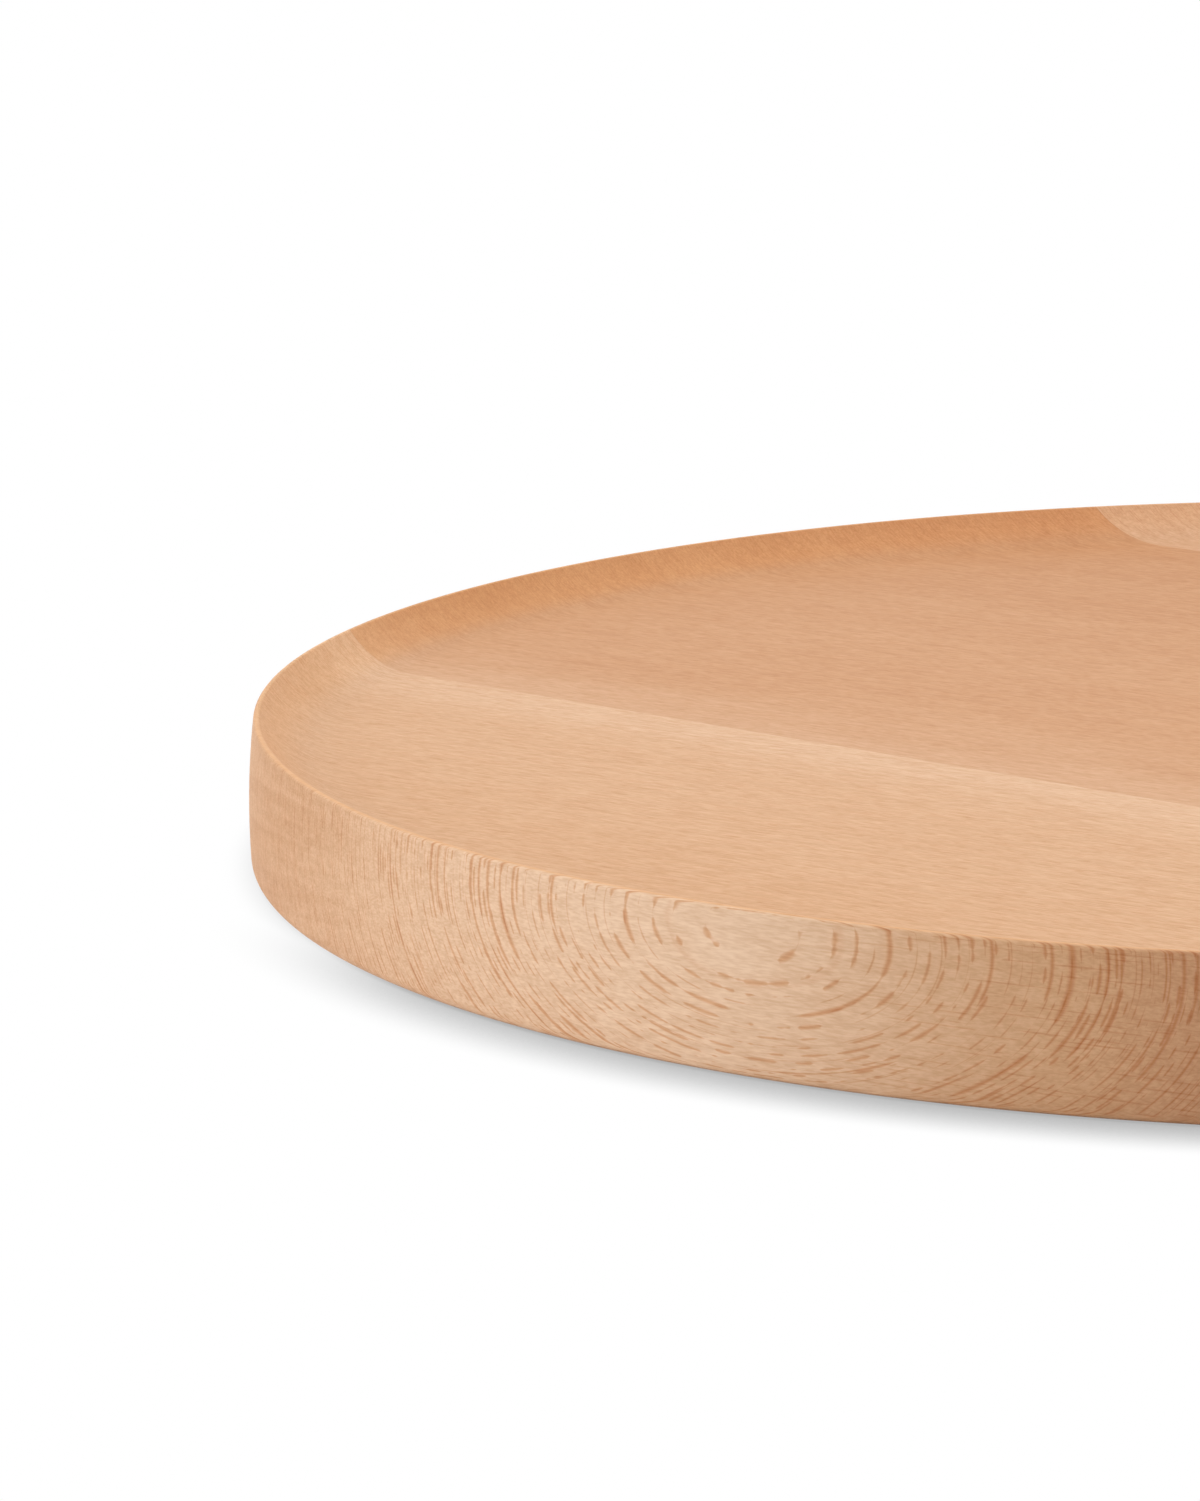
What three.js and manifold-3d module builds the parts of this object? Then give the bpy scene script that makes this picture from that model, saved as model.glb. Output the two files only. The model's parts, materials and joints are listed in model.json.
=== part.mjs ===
// Round wooden serving board: three beech staves glued edge to edge, then turned as one disc
// with a thin raised rim round a shallow dish. Millimetres, +Z up, staves running along X,
// origin at the middle of the underside.
import * as THREE from "three";
import { mergeVertices } from "three/addons/utils/BufferGeometryUtils.js";
import Module from "manifold-3d";

// Driving dimensions of the turned disc
const DIAMETER = 350; // across the belly, the widest part of the wall
const HEIGHT = 22.6; // from the underside to the top of the rim
const BELLY_HEIGHT = 7.2; // where the wall is widest, above the underside
const WALL_RADIUS = 118; // the wall's gentle bulge, seen in section
const BASE_EDGE_RADIUS = 1.7; // eased edge between wall and underside
const CREST_RADIUS = 0.6; // softened top edge of the rim
const DISH_DEPTH = 5.5; // from the top of the rim down to the dish floor
const COVE_RADIUS = 16; // hollow curve from the dish floor up to the rim

// Driving dimensions of the glue-up, measured across the staves
const FRONT_JOINT_Y = -66.5; // middle of the glue line between front and middle staves
const BACK_JOINT_Y = 101; // middle of the glue line between middle and back staves
const GLUE_THICKNESS = 0.1; // cured film left in each edge joint

// How finely the curves are faceted
const TURN_STEPS = 108; // round the board
const EDGE_STEPS = 4;
const LOWER_WALL_STEPS = 2;
const UPPER_WALL_STEPS = 5;
const CREST_STEPS = 2; // on each side of its top
const COVE_STEPS = 7;

const wasm = await Module();
wasm.setup();

// Points along an arc in the section plane, from one centre angle to another
function arc(centre, radius, startAngle, endAngle, steps) {
  const clockwise = endAngle < startAngle;
  const curve = new THREE.EllipseCurve(
    centre.x, centre.y, radius, radius, startAngle, endAngle, clockwise,
  );
  return curve.getPoints(steps);
}

// Angle at which one section point is seen from another
function angleFrom(centre, point) {
  return Math.atan2(point.y - centre.y, point.x - centre.x);
}

// Half section of the disc as (radius, height) points, from the underside's middle out and
// round to the middle of the dish floor. Each curve runs smoothly into the next one. The wall is
// split at its belly and the crest at its top, so that the full diameter and height are reached.
function discSection() {
  const wall = new THREE.Vector2(DIAMETER / 2 - WALL_RADIUS, BELLY_HEIGHT);
  const insideWall = (height, inset) =>
    wall.x + Math.sqrt((WALL_RADIUS - inset) ** 2 - (height - wall.y) ** 2);

  const edge = new THREE.Vector2(insideWall(BASE_EDGE_RADIUS, BASE_EDGE_RADIUS), BASE_EDGE_RADIUS);
  const crestHeight = HEIGHT - CREST_RADIUS;
  const crest = new THREE.Vector2(insideWall(crestHeight, CREST_RADIUS), crestHeight);

  const floorHeight = HEIGHT - DISH_DEPTH;
  const coveHeight = floorHeight + COVE_RADIUS;
  const coveReach = Math.sqrt((COVE_RADIUS + CREST_RADIUS) ** 2 - (crest.y - coveHeight) ** 2);
  const cove = new THREE.Vector2(crest.x - coveReach, coveHeight);

  const edgeToWall = angleFrom(wall, edge);
  const wallToCrest = angleFrom(wall, crest);
  const crestToCove = angleFrom(crest, cove);
  const coveToCrest = angleFrom(cove, crest);
  const outward = 0;
  const up = Math.PI / 2;
  const down = -Math.PI / 2;
  return [
    new THREE.Vector2(0, 0),
    ...arc(edge, BASE_EDGE_RADIUS, down, edgeToWall, EDGE_STEPS),
    ...arc(wall, WALL_RADIUS, edgeToWall, outward, LOWER_WALL_STEPS).slice(1),
    ...arc(wall, WALL_RADIUS, outward, wallToCrest, UPPER_WALL_STEPS).slice(1),
    ...arc(crest, CREST_RADIUS, wallToCrest, up, CREST_STEPS).slice(1),
    ...arc(crest, CREST_RADIUS, up, crestToCove, CREST_STEPS).slice(1),
    ...arc(cove, COVE_RADIUS, coveToCrest, down, COVE_STEPS).slice(1),
    new THREE.Vector2(0, floorHeight),
  ];
}

// A closed three.js geometry as a solid that can be cut
function solidFrom(geometry) {
  const bare = geometry.clone().deleteAttribute("normal").deleteAttribute("uv");
  const merged = mergeVertices(bare);
  return new wasm.Manifold(
    new wasm.Mesh({
      numProp: 3,
      vertProperties: merged.attributes.position.array,
      triVerts: new Uint32Array(merged.index.array),
    }),
  );
}

// A cut solid back as a three.js geometry
function geometryFrom(solid) {
  const mesh = solid.getMesh();
  const geometry = new THREE.BufferGeometry();
  geometry.setAttribute("position", new THREE.BufferAttribute(mesh.vertProperties, 3));
  geometry.setIndex(new THREE.BufferAttribute(mesh.triVerts, 1));
  geometry.computeVertexNormals();
  return geometry;
}

// The whole turned disc, before the joints part it
function turnedDisc() {
  const lathe = new THREE.LatheGeometry(discSection(), TURN_STEPS);
  return solidFrom(lathe.rotateX(Math.PI / 2));
}

// Everything on the far side of one joint face
function beyond(faceY) {
  const size = 2 * DIAMETER;
  const block = new THREE.BoxGeometry(size, size, size);
  return solidFrom(block.translate(0, faceY + size / 2, 0));
}

// The pieces in order across the board, each ending at the face where the next one starts
const halfFilm = GLUE_THICKNESS / 2;
const PIECES = [
  { name: "front_stave", endY: FRONT_JOINT_Y - halfFilm, color: "#e0b690", roughness: 0.55 },
  { name: "front_glue_line", endY: FRONT_JOINT_Y + halfFilm, color: "#d9b98c", roughness: 0.45 },
  { name: "middle_stave", endY: BACK_JOINT_Y - halfFilm, color: "#d8a57c", roughness: 0.55 },
  { name: "back_glue_line", endY: BACK_JOINT_Y + halfFilm, color: "#d9b98c", roughness: 0.45 },
  { name: "back_stave", endY: DIAMETER, color: "#dfb286", roughness: 0.55 },
];

const board = new THREE.Group();
let rest = turnedDisc();
for (const { name, endY, color, roughness } of PIECES) {
  const later = beyond(endY);
  const material = new THREE.MeshStandardMaterial({ color, roughness, metalness: 0 });
  const piece = new THREE.Mesh(geometryFrom(rest.subtract(later)), material);
  piece.name = name;
  board.add(piece);
  rest = rest.intersect(later);
}

export default board;
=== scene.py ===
"""Looks of a round serving board: three beech staves glued edge to edge and turned as one disc.

Metres, +Z up, staves running along X. The disc is turned again here with fine curves and cut at
the glue lines, and each stave is solid wood: its growth rings, rays and fibres run through it in
three dimensions, so every face shows the figure that a cut there would show.
"""

import json
import math
from types import SimpleNamespace

import bmesh
import bpy
from mathutils import Matrix, Vector


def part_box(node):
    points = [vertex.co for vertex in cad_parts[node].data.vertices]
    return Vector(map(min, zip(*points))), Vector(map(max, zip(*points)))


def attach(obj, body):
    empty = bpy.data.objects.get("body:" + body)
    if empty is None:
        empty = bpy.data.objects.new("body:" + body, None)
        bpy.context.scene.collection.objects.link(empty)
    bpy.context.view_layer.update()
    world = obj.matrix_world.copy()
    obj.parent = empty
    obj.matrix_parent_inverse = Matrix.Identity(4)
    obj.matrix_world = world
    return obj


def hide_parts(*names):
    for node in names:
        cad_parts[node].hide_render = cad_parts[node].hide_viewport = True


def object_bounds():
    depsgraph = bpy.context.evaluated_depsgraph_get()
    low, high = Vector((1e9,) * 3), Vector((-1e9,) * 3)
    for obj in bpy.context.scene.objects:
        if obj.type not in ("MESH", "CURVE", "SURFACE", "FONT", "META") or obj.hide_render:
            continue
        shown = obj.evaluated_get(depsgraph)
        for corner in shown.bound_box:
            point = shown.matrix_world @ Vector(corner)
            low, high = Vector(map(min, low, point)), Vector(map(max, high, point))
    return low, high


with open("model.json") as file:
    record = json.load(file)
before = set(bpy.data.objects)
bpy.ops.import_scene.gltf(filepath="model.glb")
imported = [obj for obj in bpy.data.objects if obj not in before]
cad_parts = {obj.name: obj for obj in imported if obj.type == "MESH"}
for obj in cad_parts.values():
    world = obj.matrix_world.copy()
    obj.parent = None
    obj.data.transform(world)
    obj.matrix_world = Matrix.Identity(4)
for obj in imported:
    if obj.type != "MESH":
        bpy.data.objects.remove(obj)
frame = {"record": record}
cad_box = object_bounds()

# Section of the turned disc that the frame's boxes don't give
BELLY_HEIGHT = 0.0072  # where the wall is widest
WALL_RADIUS = 0.118  # the wall's gentle bulge
BASE_EDGE_RADIUS = 0.0017  # eased edge between wall and underside
CREST_RADIUS = 0.0006  # softened top edge of the rim
COVE_RADIUS = 0.016  # hollow curve from the dish floor up to the rim
FLAT_MARGIN = 0.004  # ring that keeps the shading of both flats level

# How finely the curves are drawn
TURN_STEPS = 540
ARC_STEP = math.radians(4)
MIN_ARC_STEPS = 8

# Camera, from the photograph's frame
PHOTO_WIDTH = 1200
PHOTO_HEIGHT = 1501
FOCAL_PIXELS = 6263
SENSOR = 36.0  # millimetres along the photograph's longer side
CAMERA_AZIMUTH = math.radians(36.0)  # right of the staves' front
CAMERA_ELEVATION = math.radians(11.145)
CAMERA_DISTANCE = 0.9569  # from the middle of the rim's plane
CAMERA_SWING = math.radians(7.454)  # the camera looks left of that middle
CAMERA_DIP = math.radians(11.693)  # below level
CAMERA_ROLL = math.radians(-0.908)
CLIP_START = 0.01

# Studio light. Places are azimuth from the camera towards its right, elevation, and distance.
SOFTBOXES = {
    "top_softbox": SimpleNamespace(place=(0, 90, 1.2), size=(1.4, 1.4), watts=13.6),
    "front_softbox": SimpleNamespace(place=(0, 62, 1.4), size=(0.9, 0.9), watts=1.8),
    "left_softbox": SimpleNamespace(place=(-74, 14, 1.2), size=(1.4, 0.8), watts=8.0),
    "right_softbox": SimpleNamespace(place=(95, 35, 1.2), size=(1.0, 0.8), watts=3.4),
}
ROOM_FILL = 0.03
FLOOR_SIZE = 6.0
PAPER_ALBEDO = 0.94
PAPER_ROUGHNESS = 0.9
SHADOW_FROM = (178, 35, 1.0)  # where the light comes from that casts the shadow on the paper
SHADOW_REACH = 0.0135
SHADOW_LEVEL = 0.36  # where the paper is fully in that shadow
SHADOW_SIDE = (20, 0, 1.0)  # the side of the board that the shadow lies on
SHADOW_FADES = (0.0, 0.37)  # share of that direction over which the shadow comes in
CONTACT_REACH = 0.005  # faint shadow all round, close to the board
CONTACT_LEVEL = 0.78
SHADOW_SAMPLES = 16

MILLIMETRE = 0.001


def srgb(red, green, blue, alpha=1.0):
    """A colour as a screen shows it, 0 to 255, in the linear values that a shader takes."""

    def linear(level):
        level /= 255
        return level / 12.92 if level <= 0.04045 else ((level + 0.055) / 1.055) ** 2.4

    return (linear(red), linear(green), linear(blue), alpha)


# Wood colours: stains multiply what is under them, the others are mixed in
LATEWOOD_STAIN = (0.82, 0.59, 0.42, 1.0)
STREAK_STAIN = (0.9, 0.84, 0.78, 1.0)
# The next stain is painted shade, darkening the outer wall's right end.
WALL_END_SHADE_STAIN = (0.88, 0.8, 0.77, 1.0)
END_GRAIN_STAIN = (1.07, 0.98, 0.82, 1.0)
SAPWOOD = srgb(248, 216, 186)
# A painted highlight, lighter and warmer, along the rim's top:
CREST_HIGHLIGHT = srgb(244, 190, 136)
GLUE_PALE = srgb(226, 182, 142)
GLUE_DARK = srgb(206, 158, 116)

# Noise in the wood: size along, across and up in millimetres, the levels that it is spread over,
# and how much of its colour it brings at most
CLOUDS = SimpleNamespace(size=(70, 16, 16), detail=2.5, levels=(0.3, 0.7), share=0.3)
STREAKS = SimpleNamespace(size=(6, 1.1, 1.1), detail=2.5, levels=(0.3, 0.75), share=0.8)
FIBRES = SimpleNamespace(size=(2, 0.26, 0.26), detail=2.0, levels=(0.3, 0.7), share=1.0)
END_BANDS = SimpleNamespace(size=(40, 1, 1.6), detail=2.0, levels=(0.35, 0.65), share=0.9)
BENDS = SimpleNamespace(size=(110, 45, 45), detail=1.5)
NOISE_MIDDLE = 0.5

# Lines of darker wood: sizes in millimetres, then the noise levels between which a line fills out,
# how far towards whole lines it is raised near the rim, and the strength of the faintest line
FLECKS = SimpleNamespace(
    spacing=0.32,
    half_width=0.13,
    length=3.6,
    height=3.0,
    filled=(0.43, 0.62),
    joins=0.0,
    faintest=0.4,
)
RINGS = SimpleNamespace(
    spacing=0.6,
    half_width=0.16,
    length=12.0,
    height=6.0,
    filled=(0.4, 0.62),
    joins=0.16,
    faintest=0.2,
)
RAYS = SimpleNamespace(
    spacing=0.6,
    half_width=0.2,
    length=8.0,
    height=2.5,
    filled=(0.42, 0.66),
    joins=0.0,
    faintest=0.3,
)
DRIFT = 1.3  # how many steps a line may stray from an even row
DRIFT_OVER = 5  # steps over which it strays
UNLIKE = 7.7  # keeps the spindles of neighbouring lines unlike each other
SPINDLE_FULL = 0.6  # where a spindle's colour is deepest
SPINDLE_TIP = 0.3  # share of that colour at its tips
FLAT_SLOPE = 0.3  # below this slope to the rings, lines are drawn narrower
NARROWEST = 0.5  # share of their width where the surface lies flat on the rings

# Where things show. Ends tell how squarely the surface cuts the fibres, from -1 through 0 to 1.
OUTER_WALL = (0.05, 0.15)  # metres from the origin to a face's plane, which tell wall from dish
RINGS_JOIN = (0.012, 0.02)  # heights between which broken rings join up
RINGS_IN_DISH = 0.25
RINGS_ON_WALL = 0.9
FAR_RINGS = 0.35  # strength of the rings furthest from the pith
RAY_ENDS = (-0.02, 0.2)
BAND_ENDS = (-0.35, -0.6)
COVE_ENDS = (0.2, 0.5)
TONE_AND_SHADE_SHARE = 0.6  # how far a stave's colour grows deeper across it, before the clouds: painted shade, darker towards the board's back, on the middle and back staves
SAPWOOD_WANDERS = 0.03  # metres that its edge moves with the clouds
CREST_HIGHLIGHT_DEPTH = 0.0002  # below the rim's top, where the painted highlight along the crest begins
CREST_HIGHLIGHT_SHARE = 0.35

# Finish
FIBRE_LEVELS = (0.2, 0.8)
WOOD_ROUGHNESS = (0.5, 0.62)
WOOD_SPECULAR = 0.3
FIBRE_BUMP = 0.1
FIBRE_RELIEF = 0.0001  # metres
GLUE_PER_METRE = (90, 900, 900)
GLUE_ROUGHNESS = 0.5

# Each stave's own wood: places of pith and sapwood and the stretch over which its colour grows deeper
# in metres (painted shade towards the board's back on the middle and back staves), ring radii, waver,
# ray reach and stretches of the outer wall in millimetres (the last of them painted shade on the wall's
# right end), then colours
FRONT_STAVE = SimpleNamespace(
    pith=(0, -0.26, 0.03),
    turn=math.radians(7.5),
    tilt=0.0,
    waver=1.2,
    bold_rings=SimpleNamespace(starts=(84.3, 85.1), fades=(90, 108)),
    fleck_depth=0.85,
    ray_reach=85.0,
    ray_depth=0.55,
    sapwood=SimpleNamespace(start=-0.088, end=-0.07, share=0.33),
    # The last stretch of the outer wall is painted shade on its right end.
    outer_wall=SimpleNamespace(creams=(-96, 19), cream=0.88, fades=(80, 26), shaded_end=(74, 100)),
    deepens_and_shades=(-0.08, -0.175),
    end_depth=0.5,
    light=srgb(229, 187, 149),
    deep=srgb(222, 176, 134),
)
MIDDLE_STAVE = SimpleNamespace(
    pith=(0, 0.42, -0.03),
    turn=math.radians(6.0),
    tilt=math.radians(0.6),
    waver=3.0,
    bold_rings=None,
    fleck_depth=0.35,
    ray_reach=150.0,
    ray_depth=0.2,
    sapwood=SimpleNamespace(start=-0.036, end=-0.0665, share=0.21),
    outer_wall=None,
    # Painted shade: this stave darkens towards the board's back.
    deepens_and_shades=(0.0, 0.1),
    end_depth=1.0,
    light=srgb(216, 166, 124),
    deep=srgb(206, 151, 106),
)
BACK_STAVE = SimpleNamespace(
    pith=(0, 0.36, -0.03),
    turn=math.radians(4.0),
    tilt=math.radians(-0.5),
    waver=2.4,
    bold_rings=None,
    fleck_depth=0.35,
    ray_reach=150.0,
    ray_depth=0.2,
    sapwood=None,
    outer_wall=None,
    # Painted shade: this stave darkens towards the board's back.
    deepens_and_shades=(0.1, 0.175),
    end_depth=0.5,
    light=srgb(221, 177, 141),
    deep=srgb(212, 166, 127),
)


# The turned section

def arc(centre, radius, start, end):
    """Points (radius, height) along an arc of the section, both ends included."""
    steps = max(MIN_ARC_STEPS, round(abs(end - start) / ARC_STEP))
    angles = [start + (end - start) * step / steps for step in range(steps + 1)]
    return [centre + radius * Vector((math.cos(angle), math.sin(angle))) for angle in angles]


def angle_from(centre, point):
    return math.atan2(point.y - centre.y, point.x - centre.x)


def disc_section():
    """Half section of the disc, from inside the underside's rim round to inside the dish floor's."""
    low, high = cad_box
    belly_radius = (high.x - low.x) / 2
    height = high.z
    mounts = {mount["name"]: mount for mount in frame["record"]["mounts"]}
    floor_height = mounts["dish_floor"]["pos_m"][2]

    wall = Vector((belly_radius - WALL_RADIUS, BELLY_HEIGHT))

    def inside_wall(at_height, inset):
        reach = math.sqrt((WALL_RADIUS - inset) ** 2 - (at_height - wall.y) ** 2)
        return Vector((wall.x + reach, at_height))

    edge = inside_wall(BASE_EDGE_RADIUS, BASE_EDGE_RADIUS)
    crest = inside_wall(height - CREST_RADIUS, CREST_RADIUS)
    cove_height = floor_height + COVE_RADIUS
    cove_reach = math.sqrt((COVE_RADIUS + CREST_RADIUS) ** 2 - (crest.y - cove_height) ** 2)
    cove = Vector((crest.x - cove_reach, cove_height))

    edge_to_wall = angle_from(wall, edge)
    wall_to_crest = angle_from(wall, crest)
    crest_to_cove = angle_from(crest, cove)
    cove_to_crest = angle_from(cove, crest)
    outward, up, down = 0, math.pi / 2, -math.pi / 2
    return [
        Vector((edge.x - FLAT_MARGIN, 0)),
        *arc(edge, BASE_EDGE_RADIUS, down, edge_to_wall),
        *arc(wall, WALL_RADIUS, edge_to_wall, outward)[1:],
        *arc(wall, WALL_RADIUS, outward, wall_to_crest)[1:],
        *arc(crest, CREST_RADIUS, wall_to_crest, up)[1:],
        *arc(crest, CREST_RADIUS, up, crest_to_cove)[1:],
        *arc(cove, COVE_RADIUS, cove_to_crest, down)[1:],
        Vector((cove.x - FLAT_MARGIN, floor_height)),
    ]


def turned_disc():
    """The whole disc as one closed mesh, with one flat face for the underside and one for the floor."""
    disc = bmesh.new()
    rings = []
    for point in disc_section():
        ring = []
        for step in range(TURN_STEPS):
            turn = 2 * math.pi * step / TURN_STEPS
            place = (point.x * math.cos(turn), point.x * math.sin(turn), point.y)
            ring.append(disc.verts.new(place))
        rings.append(ring)
    for lower, upper in zip(rings, rings[1:]):
        for step in range(TURN_STEPS):
            after = (step + 1) % TURN_STEPS
            disc.faces.new((lower[step], lower[after], upper[after], upper[step]))
    disc.faces.new(reversed(rings[0]))
    disc.faces.new(rings[-1])
    for face in disc.faces:
        face.smooth = True
    return disc


def cut_disc(disc, face_y, outward):
    """Keeps the side of a joint face that lies against its outward normal, and closes it there."""
    everything = disc.verts[:] + disc.edges[:] + disc.faces[:]
    cut = bmesh.ops.bisect_plane(
        disc,
        geom=everything,
        plane_co=(0, face_y, 0),
        plane_no=(0, outward, 0),
        clear_outer=True,
    )
    rim = [part for part in cut["geom_cut"] if isinstance(part, bmesh.types.BMEdge)]
    bmesh.ops.edgeloop_fill(disc, edges=rim)
    for edge in rim:
        edge.smooth = False


def turned_piece(node, material):
    """The slice of the disc that stands for one CAD node, between the node's own joint faces."""
    low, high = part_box(node)
    board_low, board_high = cad_box
    disc = turned_disc()
    if low.y > board_low.y + MILLIMETRE:
        cut_disc(disc, low.y, -1)
    if high.y < board_high.y - MILLIMETRE:
        cut_disc(disc, high.y, 1)
    bmesh.ops.recalc_face_normals(disc, faces=disc.faces)
    name = "turned_" + node
    mesh = bpy.data.meshes.new(name)
    disc.to_mesh(mesh)
    disc.free()
    mesh.materials.append(material)
    piece = bpy.data.objects.new(name, mesh)
    bpy.context.scene.collection.objects.link(piece)
    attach(piece, "root")
    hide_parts(node)


# Materials

class Nodes:
    """Wires a material or the world: sockets or plain numbers go in, sockets come out."""

    def __init__(self, owner):
        self.tree = owner.node_tree

    def node(self, kind, inputs, **settings):
        made = self.tree.nodes.new("ShaderNode" + kind)
        for setting, value in settings.items():
            setattr(made, setting, value)
        for socket, value in inputs.items():
            self.put(made.inputs[socket], value)
        return made

    def put(self, socket, value):
        if isinstance(value, bpy.types.NodeSocket):
            self.tree.links.new(value, socket)
        else:
            socket.default_value = value

    def math(self, operation, *values):
        return self.node("Math", dict(enumerate(values)), operation=operation).outputs[0]

    def vector(self, operation, *values):
        made = self.node("VectorMath", dict(enumerate(values)), operation=operation)
        return made.outputs["Value" if operation in ("LENGTH", "DOT_PRODUCT") else "Vector"]

    def join(self, x, y, z):
        return self.node("CombineXYZ", {0: x, 1: y, 2: z}).outputs[0]

    def parts(self, vector):
        return self.node("SeparateXYZ", {0: vector}).outputs

    def noise(self, vector, detail=2.0, output="Fac"):
        inputs = {"Vector": vector, "Scale": 1.0, "Detail": detail}
        return self.node("TexNoise", inputs).outputs[output]

    def texture_noise(self, texture, place, output="Fac"):
        return self.noise(self.vector("DIVIDE", place, texture.size), texture.detail, output)

    def noise_along(self, place):
        inputs = {"W": place, "Scale": 1.0, "Detail": 1.0}
        return self.node("TexNoise", inputs, noise_dimensions="1D").outputs["Fac"]

    def ease(self, value, start, end, low=0.0, high=1.0):
        """Runs smoothly from low to high as value goes from start to end."""
        inputs = {"Value": value, "From Min": start, "From Max": end, "To Min": low, "To Max": high}
        made = self.node("MapRange", inputs, interpolation_type="SMOOTHSTEP")
        return made.outputs["Result"]

    def spread(self, texture, level):
        """A noise level as the share of colour that its texture brings."""
        return self.ease(level, *texture.levels, 0.0, texture.share)

    def mix(self, share, colour, other, blend_type="MIX"):
        settings = {"data_type": "RGBA", "blend_type": blend_type}
        return self.node("Mix", {0: share, 6: colour, 7: other}, **settings).outputs[2]

    def stain(self, share, colour, stain):
        return self.mix(share, colour, stain, "MULTIPLY")


def grain_frame(wood, stave, place):
    """Millimetres from the tree's pith: along the grain, then across it, gently bent as in a log."""
    inputs = {
        "Vector": place,
        "Location": stave.pith,
        "Rotation": (0, stave.tilt, stave.turn),
        "Scale": (MILLIMETRE,) * 3,
    }
    straight = wood.node("Mapping", inputs, vector_type="TEXTURE").outputs[0]
    bend = wood.texture_noise(BENDS, straight, output="Color")
    bend = wood.vector("SUBTRACT", bend, (NOISE_MIDDLE,) * 3)
    bend = wood.vector("MULTIPLY", bend, (0, stave.waver, stave.waver))
    return wood.vector("ADD", straight, bend)


def ring_slope(wood, stave, normal, across, up):
    """1 where the surface cuts straight across the rings, 0 where it lies flat on them."""
    inputs = {"Vector": wood.join(0, across, up), "Rotation": (0, stave.tilt, stave.turn)}
    outward = wood.node("Mapping", inputs, vector_type="NORMAL").outputs[0]
    flat = wood.vector("DOT_PRODUCT", normal, outward)
    return wood.math("SQRT", wood.math("SUBTRACT", 1.0, wood.math("MULTIPLY", flat, flat)))


def cut_through(wood, stave):
    """Where a point of the surface lies in the stave's wood, and how the surface cuts that wood."""
    coordinates = wood.node("TexCoord", {}).outputs
    place, normal = coordinates["Object"], coordinates["Normal"]
    grain = grain_frame(wood, stave, place)
    along, across, up = wood.parts(grain)
    fibre = (math.cos(stave.turn), math.sin(stave.turn), 0)
    slope = ring_slope(wood, stave, normal, across, up)
    place_parts = wood.parts(place)
    return SimpleNamespace(
        grain=grain,
        along=along,
        radius=wood.vector("LENGTH", wood.join(0, across, up)),
        around=wood.math("MULTIPLY", wood.math("ARCTAN2", up, across), stave.ray_reach),
        y=place_parts["Y"],
        z=place_parts["Z"],
        wall=wood.ease(wood.vector("DOT_PRODUCT", normal, place), *OUTER_WALL),
        ends=wood.vector("DOT_PRODUCT", normal, fibre),
        line_width=wood.ease(slope, 0.0, FLAT_SLOPE, NARROWEST, 1.0),
    )


def grain_lines(wood, marks, cut, across, beside, width):
    """Lines of darker wood at uneven steps across, broken into spindles that join near the rim."""
    drift = wood.noise_along(wood.math("DIVIDE", across, DRIFT_OVER * marks.spacing))
    drift = wood.math("MULTIPLY", drift, DRIFT)
    count = wood.math("ADD", wood.math("DIVIDE", across, marks.spacing), drift)
    number = wood.math("FLOOR", count)
    chance = wood.node("TexWhiteNoise", {"W": number}, noise_dimensions="1D").outputs["Value"]
    strength = wood.ease(chance, 0.0, 1.0, marks.faintest, 1.0)
    patch = wood.join(
        wood.math("DIVIDE", cut.along, marks.length),
        wood.math("DIVIDE", beside, marks.height),
        wood.math("MULTIPLY", number, UNLIKE),
    )
    joined = wood.ease(cut.z, *RINGS_JOIN, 0.0, marks.joins)
    filled = wood.math("ADD", wood.noise(patch), joined)
    body = wood.math("MULTIPLY", wood.ease(filled, *marks.filled), strength)
    off_line = wood.math("ABSOLUTE", wood.math("SUBTRACT", wood.math("FRACT", count), 0.5))
    half_width = wood.math("MULTIPLY", width, marks.half_width / marks.spacing)
    line = wood.ease(off_line, wood.math("MULTIPLY", body, half_width), 0.0)
    return wood.math("MULTIPLY", line, wood.ease(body, 0.0, SPINDLE_FULL, SPINDLE_TIP, 1.0))


def ray_share(wood, stave, cut):
    """Rays, which run along the grain on the wall's right side, where it cuts the fibres."""
    rays = grain_lines(wood, RAYS, cut, cut.around, cut.radius, 1.0)
    shown = wood.math("MULTIPLY", cut.wall, wood.ease(cut.ends, *RAY_ENDS))
    return wood.math("MULTIPLY", wood.math("MULTIPLY", rays, shown), stave.ray_depth)


def fleck_share(wood, stave, cut):
    """Small dark spindles all over."""
    flecks = grain_lines(wood, FLECKS, cut, cut.radius, cut.around, cut.line_width)
    return wood.math("MULTIPLY", flecks, stave.fleck_depth)


def ring_share(wood, stave, cut):
    """Growth rings, strongest on the outer wall."""
    rings = grain_lines(wood, RINGS, cut, cut.radius, cut.around, cut.line_width)
    rings = wood.math("MULTIPLY", rings, wood.ease(cut.wall, 0.0, 1.0, RINGS_IN_DISH, RINGS_ON_WALL))
    if stave.bold_rings:
        starts = wood.ease(cut.radius, *stave.bold_rings.starts)
        fades = wood.ease(cut.radius, *stave.bold_rings.fades, 1.0, FAR_RINGS)
        rings = wood.math("MULTIPLY", rings, wood.math("MULTIPLY", starts, fades))
    return rings


def sapwood_share(wood, sapwood, y, clouds):
    """Paler wood along a joint, with an uneven edge."""
    shift = wood.math("MULTIPLY", wood.math("SUBTRACT", clouds, NOISE_MIDDLE), SAPWOOD_WANDERS)
    return wood.ease(wood.math("ADD", y, shift), sapwood.start, sapwood.end, 0.0, sapwood.share)


def cream_share(wood, stretch, cut):
    """A cream stretch of the outer wall."""
    rises = wood.ease(cut.along, *stretch.creams, 0.0, stretch.cream)
    cream = wood.math("MULTIPLY", rises, wood.ease(cut.along, *stretch.fades))
    return wood.math("MULTIPLY", cream, cut.wall)


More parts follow.
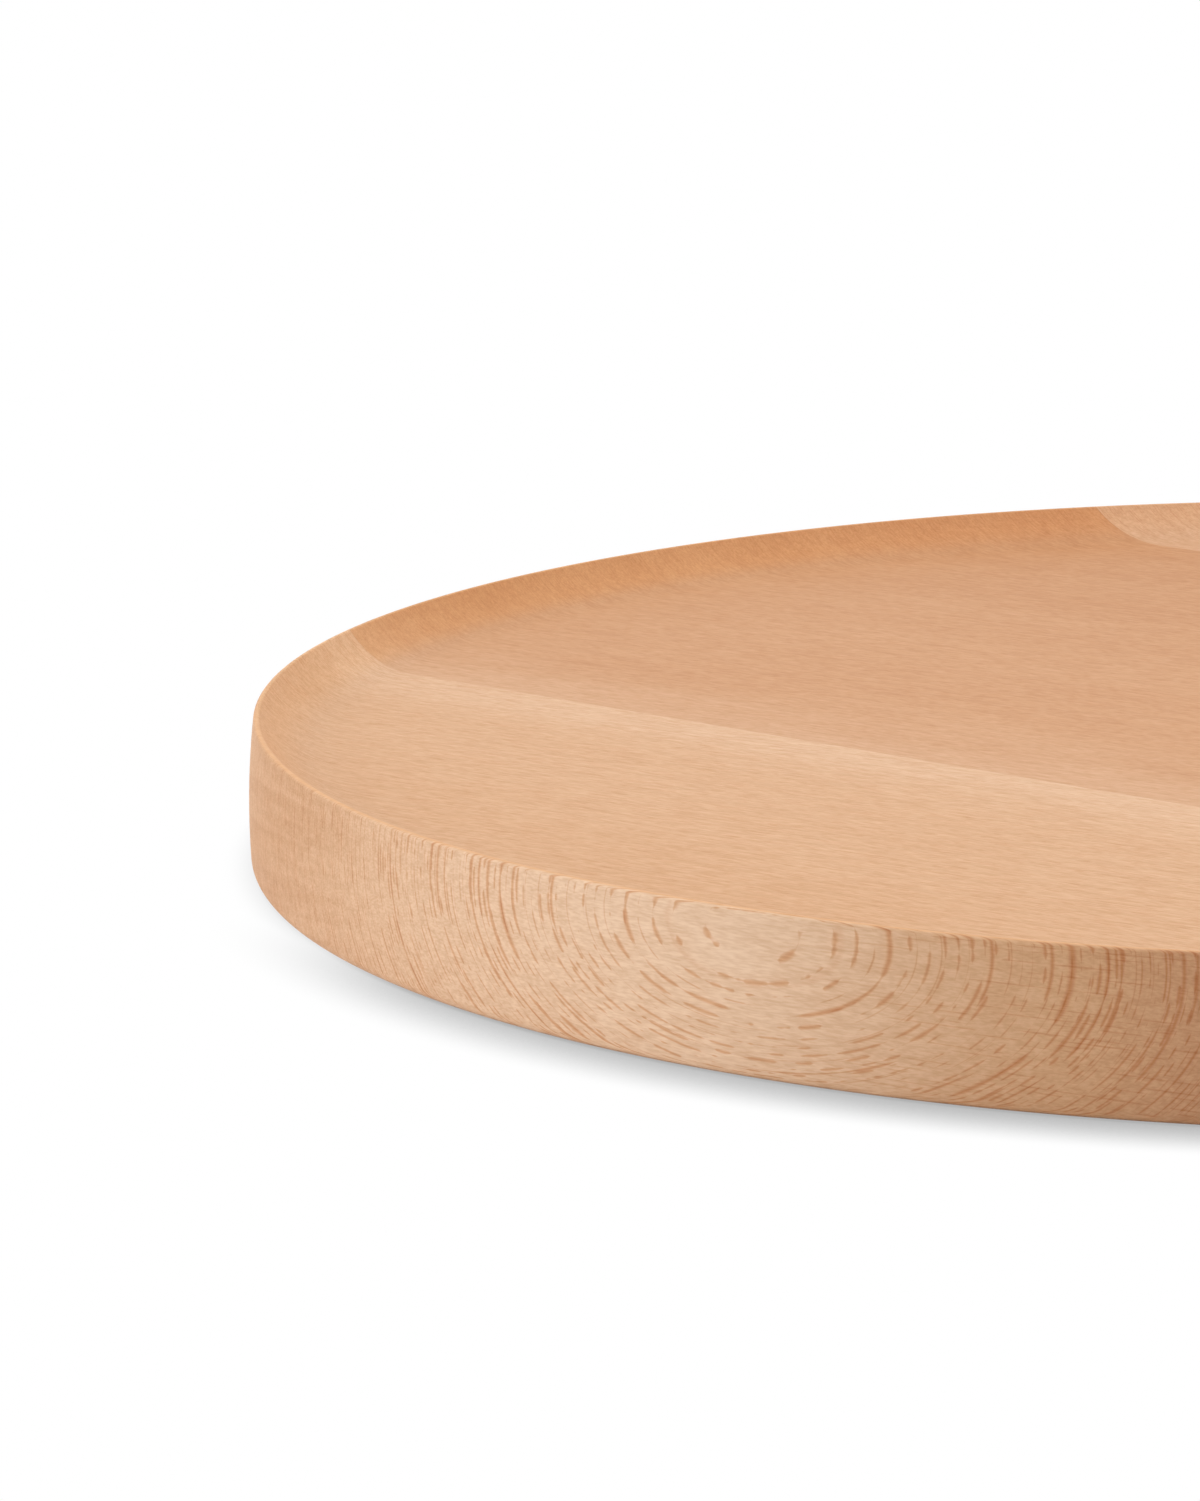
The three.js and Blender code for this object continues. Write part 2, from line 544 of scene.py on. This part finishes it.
def plain_colour(wood, stave, cut):
    """The stave's wood before its marks, with its sapwood and cream, painted shade on the outer wall's
    right end, and a colour that grows deeper across the stave, which is painted shade towards the
    board's back on the middle and back staves.
    """
    clouds = wood.texture_noise(CLOUDS, cut.grain)
    # Darker across the stave, with uneven clouds: on the middle and back staves this is painted shade
    # towards the board's back.
    tone_and_shade = wood.ease(cut.y, *stave.deepens_and_shades, 0.0, TONE_AND_SHADE_SHARE)
    tone_and_shade = wood.math("ADD", tone_and_shade, wood.spread(CLOUDS, clouds))
    colour = wood.mix(tone_and_shade, stave.light, stave.deep)
    if stave.sapwood:
        colour = wood.mix(sapwood_share(wood, stave.sapwood, cut.y, clouds), colour, SAPWOOD)
    if stave.outer_wall:
        colour = wood.mix(cream_share(wood, stave.outer_wall, cut), colour, SAPWOOD)
        # Painted shade: the outer wall darkens towards its right end.
        end_shade = wood.math("MULTIPLY", wood.ease(cut.along, *stave.outer_wall.shaded_end), cut.wall)
        colour = wood.stain(end_shade, colour, WALL_END_SHADE_STAIN)
    return colour


def band_share(wood, cut):
    """Level bands on the wall's left end, where it cuts the fibres."""
    bands = wood.texture_noise(END_BANDS, wood.join(cut.along, 0, cut.around))
    shown = wood.math("MULTIPLY", cut.wall, wood.ease(cut.ends, *BAND_ENDS))
    return wood.math("MULTIPLY", wood.spread(END_BANDS, bands), shown)


def cove_share(wood, stave, cut):
    """End grain inside the dish, which looks warmer."""
    square = wood.ease(wood.math("ABSOLUTE", cut.ends), *COVE_ENDS, 0.0, stave.end_depth)
    return wood.math("MULTIPLY", square, wood.math("SUBTRACT", 1.0, cut.wall))


def new_material(name):
    """A material with its nodes' shorthand and its shader's inputs."""
    material = bpy.data.materials.new(name)
    material.use_nodes = True
    nodes = Nodes(material)
    return material, nodes, nodes.tree.nodes["Principled BSDF"].inputs


def beech(name, stave):
    """Oiled beech, sanded smooth, with painted shade on some stretches and a painted highlight along
    the rim's top.
    """
    material, wood, surface = new_material(name)
    cut = cut_through(wood, stave)
    streaks = wood.texture_noise(STREAKS, cut.grain)
    fibres = wood.texture_noise(FIBRES, cut.grain)
    rim_top = cad_box[1].z
    # Painted highlight: the rim's top is drawn lighter and warmer.
    crest = wood.ease(cut.z, rim_top - CREST_HIGHLIGHT_DEPTH, rim_top, 0.0, CREST_HIGHLIGHT_SHARE)

    colour = plain_colour(wood, stave, cut)
    colour = wood.stain(band_share(wood, cut), colour, STREAK_STAIN)
    colour = wood.stain(wood.spread(STREAKS, streaks), colour, STREAK_STAIN)
    colour = wood.stain(wood.spread(FIBRES, fibres), colour, STREAK_STAIN)
    colour = wood.stain(ray_share(wood, stave, cut), colour, LATEWOOD_STAIN)
    colour = wood.stain(fleck_share(wood, stave, cut), colour, LATEWOOD_STAIN)
    colour = wood.stain(ring_share(wood, stave, cut), colour, LATEWOOD_STAIN)
    colour = wood.stain(cove_share(wood, stave, cut), colour, END_GRAIN_STAIN)
    # The rim's top gets its painted highlight last.
    wood.put(surface["Base Color"], wood.mix(crest, colour, CREST_HIGHLIGHT))

    relief = {"Height": fibres, "Strength": FIBRE_BUMP, "Distance": FIBRE_RELIEF}
    wood.put(surface["Normal"], wood.node("Bump", relief).outputs[0])
    wood.put(surface["Roughness"], wood.ease(fibres, *FIBRE_LEVELS, *WOOD_ROUGHNESS))
    wood.put(surface["Specular IOR Level"], WOOD_SPECULAR)
    return material


def cured_glue():
    """A thin uneven film, close to the wood's own colour."""
    material, glue, surface = new_material("cured_glue")
    place = glue.node("TexCoord", {}).outputs["Object"]
    uneven = glue.noise(glue.vector("MULTIPLY", place, GLUE_PER_METRE))
    glue.put(surface["Base Color"], glue.mix(uneven, GLUE_PALE, GLUE_DARK))
    glue.put(surface["Roughness"], GLUE_ROUGHNESS)
    return material


def build_board():
    glue = cured_glue()
    turned_piece("front_stave", beech("beech_front", FRONT_STAVE))
    turned_piece("front_glue_line", glue)
    turned_piece("middle_stave", beech("beech_middle", MIDDLE_STAVE))
    turned_piece("back_glue_line", glue)
    turned_piece("back_stave", beech("beech_back", BACK_STAVE))


# The stage

def from_camera(azimuth, elevation, distance):
    """A place round the board, with azimuth counted from the camera towards its right."""
    turn = CAMERA_AZIMUTH + math.radians(azimuth)
    rise = math.radians(elevation)
    level = distance * math.cos(rise)
    return Vector((level * math.sin(turn), -level * math.cos(turn), distance * math.sin(rise)))


def add_camera():
    data = bpy.data.cameras.new("camera")
    data.lens = SENSOR * FOCAL_PIXELS / max(PHOTO_WIDTH, PHOTO_HEIGHT)
    data.sensor_width = SENSOR
    data.clip_start = CLIP_START
    camera = bpy.data.objects.new("camera", data)
    rim_middle = Vector((0, 0, cad_box[1].z))
    place = rim_middle + from_camera(0, math.degrees(CAMERA_ELEVATION), CAMERA_DISTANCE)
    heading = CAMERA_AZIMUTH + CAMERA_SWING
    camera.matrix_world = (
        Matrix.Translation(place)
        @ Matrix.Rotation(heading, 4, "Z")
        @ Matrix.Rotation(math.pi / 2 - CAMERA_DIP, 4, "X")
        @ Matrix.Rotation(CAMERA_ROLL, 4, "Z")
    )
    bpy.context.scene.collection.objects.link(camera)
    bpy.context.scene.camera = camera


def add_softbox(name, place, size, watts):
    data = bpy.data.lights.new(name, "AREA")
    data.shape = "RECTANGLE"
    data.size, data.size_y = size
    data.energy = watts
    light = bpy.data.objects.new(name, data)
    light.location = place
    light.rotation_euler = (-place).to_track_quat("-Z", "Y").to_euler()
    light.visible_camera = False
    bpy.context.scene.collection.objects.link(light)


def seen_share(nodes):
    """1 for rays that show the surroundings: straight to the camera, mirrored or through glass."""
    path = nodes.node("LightPath", {}).outputs
    mirrored = nodes.math("MAXIMUM", path["Is Glossy Ray"], path["Is Transmission Ray"])
    return nodes.math("MAXIMUM", path["Is Camera Ray"], mirrored)


def white_paper():
    """Paper that lights the board from below, and looks plain white with the board's shadow on it."""
    material, paper, surface = new_material("white_paper")
    paper.put(surface["Base Color"], (PAPER_ALBEDO,) * 3 + (1.0,))
    paper.put(surface["Roughness"], PAPER_ROUGHNESS)
    lit = paper.tree.nodes["Principled BSDF"].outputs[0]
    towards_light = paper.join(*from_camera(*SHADOW_FROM))
    reached = {"Distance": SHADOW_REACH, "Normal": towards_light}
    clear = paper.node("AmbientOcclusion", reached, samples=SHADOW_SAMPLES).outputs["AO"]
    outward = paper.vector("NORMALIZE", paper.node("TexCoord", {}).outputs["Object"])
    side = paper.vector("DOT_PRODUCT", outward, from_camera(*SHADOW_SIDE))
    darkest = paper.ease(side, *SHADOW_FADES, 1.0, SHADOW_LEVEL)
    level = paper.ease(clear, 0.0, 1.0, darkest, 1.0)
    touched = {"Distance": CONTACT_REACH}
    contact = paper.node("AmbientOcclusion", touched, samples=SHADOW_SAMPLES).outputs["AO"]
    level = paper.math("MINIMUM", level, paper.ease(contact, 0.0, 1.0, CONTACT_LEVEL, 1.0))
    white = paper.node("Emission", {"Strength": level}).outputs[0]
    shown = paper.node("MixShader", {0: seen_share(paper), 1: lit, 2: white}).outputs[0]
    paper.put(paper.tree.nodes["Material Output"].inputs["Surface"], shown)
    return material


def add_floor():
    mesh = bpy.data.meshes.new("floor")
    half = FLOOR_SIZE / 2
    corners = [(-half, -half, 0), (half, -half, 0), (half, half, 0), (-half, half, 0)]
    mesh.from_pydata(corners, [], [(0, 1, 2, 3)])
    mesh.materials.append(white_paper())
    floor = bpy.data.objects.new("floor", mesh)
    bpy.context.scene.collection.objects.link(floor)


def add_world():
    """A faint even fill, plain white where it is seen."""
    world = bpy.data.worlds.new("studio")
    world.use_nodes = True
    room = Nodes(world)
    background = room.tree.nodes["Background"].inputs
    room.put(background["Color"], (1.0, 1.0, 1.0, 1.0))
    room.put(background["Strength"], room.math("MAXIMUM", seen_share(room), ROOM_FILL))
    bpy.context.scene.world = world


def light_studio():
    bpy.context.scene.view_settings.view_transform = "Standard"
    add_world()
    add_floor()
    for name, softbox in SOFTBOXES.items():
        add_softbox(name, from_camera(*softbox.place), softbox.size, softbox.watts)


add_camera()
light_studio()
build_board()
